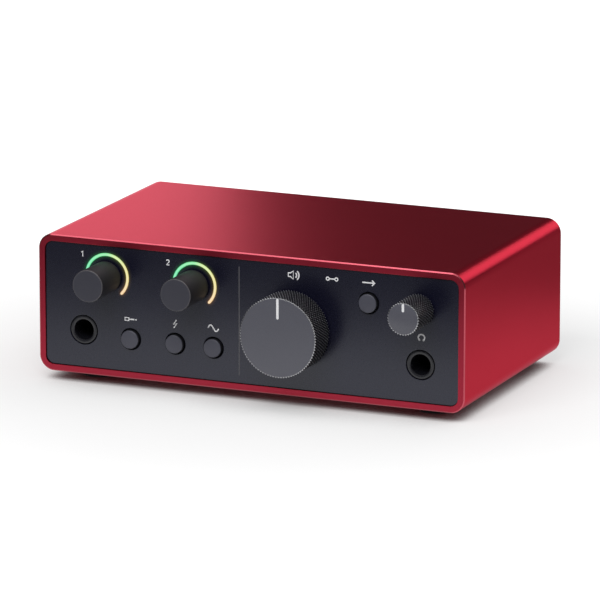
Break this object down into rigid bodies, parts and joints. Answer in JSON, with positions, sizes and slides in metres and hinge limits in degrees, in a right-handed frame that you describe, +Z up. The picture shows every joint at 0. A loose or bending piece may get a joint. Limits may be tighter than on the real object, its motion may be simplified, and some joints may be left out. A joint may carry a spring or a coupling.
{
  "type": "audio interface",
  "caption": "Low desktop audio interface: an extruded metal sleeve between end panels, with turning gain and output knobs, push buttons, lit level rings and jack, microphone and data sockets.",
  "frame": {"origin": "on the surface that the feet stand on, under the middle of the overall box", "axes": "+X to the right seen from the front, -Y out of the front panel, +Z up"},
  "size_m": [0.1436, 0.0968, 0.047],
  "materials": {
    "red_anodised": "satin anodised",
    "dark_panel": "satin",
    "rear_black": "fine powder coat",
    "foot_rubber": "matt",
    "pointer_white": "satin",
    "light_guide": "lit",
    "soft_black": "matt",
    "steel": "plated",
    "zinc": "plated",
    "contact": "gold plated",
    "circuit_board": "solder mask",
    "black_plastic": "moulded"
  },
  "bodies": {
    "case": {"board_link": "black_plastic", "board_screw_1": "steel", "board_screw_2": "steel", "board_screw_3": "steel", "case_sleeve": "red_anodised", "control_board": "circuit_board", "foot_front_left": "foot_rubber", "foot_front_right": "foot_rubber", "foot_rear_left": "foot_rubber", "foot_rear_right": "foot_rubber", "front_panel": "dark_panel", "gain_encoder_1": "zinc", "gain_encoder_2": "zinc", "halo_guide_1": "light_guide", "halo_guide_2": "light_guide", "headphone_jack": "black_plastic", "headphone_jack_spring": "contact", "headphone_pot": "zinc", "input_jack": "black_plastic", "input_jack_spring": "contact", "instrument_switch": "black_plastic", "line_out_left_jack": "black_plastic", "line_out_left_jack_spring": "contact", "line_out_right_jack": "black_plastic", "line_out_right_jack_spring": "contact", "main_board": "circuit_board", "mic_contact_1": "contact", "mic_contact_2": "contact", "mic_contact_3": "contact", "mic_core": "black_plastic", "mic_socket": "black_plastic", "monitor_switch": "black_plastic", "output_pot": "zinc", "phantom_switch": "black_plastic", "processor": "black_plastic", "rear_panel": "rear_black", "rear_screw_1": "steel", "rear_screw_2": "steel", "rear_screw_3": "steel", "rear_screw_4": "steel", "tone_switch": "black_plastic", "usb_shell": "steel", "usb_tongue": "black_plastic"},
    "gain_1": {"gain_knob_1": "soft_black", "gain_shaft_1": "steel"},
    "gain_2": {"gain_knob_2": "soft_black", "gain_shaft_2": "steel"},
    "output": {"output_knob": "soft_black", "output_pointer": "pointer_white", "output_shaft": "steel"},
    "headphone": {"headphone_knob": "soft_black", "headphone_pointer": "pointer_white", "headphone_shaft": "steel"},
    "instrument": {"instrument_button": "soft_black"},
    "phantom": {"phantom_button": "soft_black"},
    "tone": {"tone_button": "soft_black"},
    "monitor": {"monitor_button": "soft_black"}
  },
  "joints": [
    {"name": "gain_1_turn", "type": "hinge", "parent": "case", "child": "gain_1", "pos_m": [-0.04848, -0.0346, 0.03495], "axis": [0, 1, 0], "continuous": true},
    {"name": "gain_2_turn", "type": "hinge", "parent": "case", "child": "gain_2", "pos_m": [-0.01863, -0.0346, 0.03495], "axis": [0, 1, 0], "continuous": true},
    {"name": "output_turn", "type": "hinge", "parent": "case", "child": "output", "pos_m": [0.0143, -0.0346, 0.024], "axis": [0, 1, 0], "range_deg": [-150, 150]},
    {"name": "headphone_turn", "type": "hinge", "parent": "case", "child": "headphone", "pos_m": [0.0565, -0.0346, 0.03445], "axis": [0, 1, 0], "range_deg": [-150, 150]},
    {"name": "instrument_press", "type": "slide", "parent": "case", "child": "instrument", "axis": [0, 1, 0], "range_m": [0, 0.0006], "stiffness_N_per_m": 1200},
    {"name": "phantom_press", "type": "slide", "parent": "case", "child": "phantom", "axis": [0, 1, 0], "range_m": [0, 0.0006], "stiffness_N_per_m": 1200},
    {"name": "tone_press", "type": "slide", "parent": "case", "child": "tone", "axis": [0, 1, 0], "range_m": [0, 0.0006], "stiffness_N_per_m": 1200},
    {"name": "monitor_press", "type": "slide", "parent": "case", "child": "monitor", "axis": [0, 1, 0], "range_m": [0, 0.0006], "stiffness_N_per_m": 1200}
  ]
}
